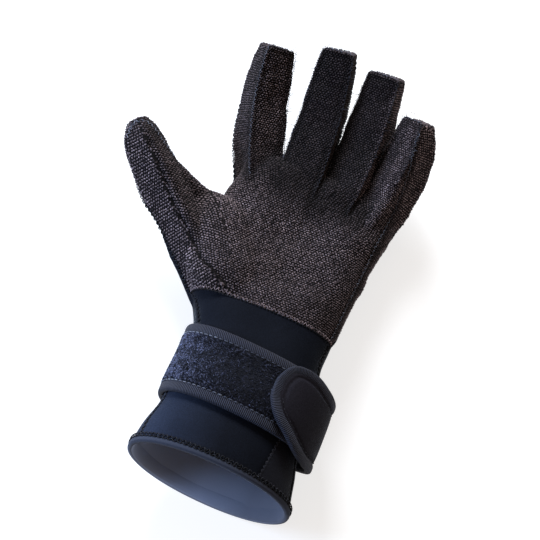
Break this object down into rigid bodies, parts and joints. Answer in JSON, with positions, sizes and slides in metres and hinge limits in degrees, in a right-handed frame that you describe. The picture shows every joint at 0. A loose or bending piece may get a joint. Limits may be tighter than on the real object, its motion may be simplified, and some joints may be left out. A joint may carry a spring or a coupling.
{
  "type": "neoprene glove",
  "caption": "Left-hand gauntlet glove of thick neoprene with a textured palm panel, flared cuff and a wrist strap closed by a rounded hook-and-loop tab, lying palm up.",
  "frame": {"origin": "on the flat face that the glove rests on, under the middle of the palm", "axes": "+Y towards the fingertips, +Z out of the palm, so -X is the thumb side"},
  "size_m": [0.1874, 0.2996, 0.0778],
  "materials": {
    "palm_knit": "coarse raised knit with fine light flecks, matt",
    "neoprene": "smooth jersey-faced neoprene, matt with a soft sheen",
    "gusset_neoprene": "smooth black neoprene, matt",
    "strap_neoprene": "smooth black neoprene, matt",
    "edge_binding": "ribbed woven edge tape, matt",
    "loop_pile": "brushed loop pile, fuzzy"
  },
  "bodies": {
    "root": {"palm_panel": "palm_knit", "back_panel": "neoprene", "cuff_panel": "neoprene", "cuff_gusset": "gusset_neoprene", "cuff_hem": "neoprene", "strap_band": "strap_neoprene", "strap_lower_binding": "edge_binding", "strap_upper_binding": "edge_binding", "strap_loop_patch": "loop_pile", "strap_tab": "strap_neoprene", "tab_binding": "edge_binding"}
  },
  "joints": []
}
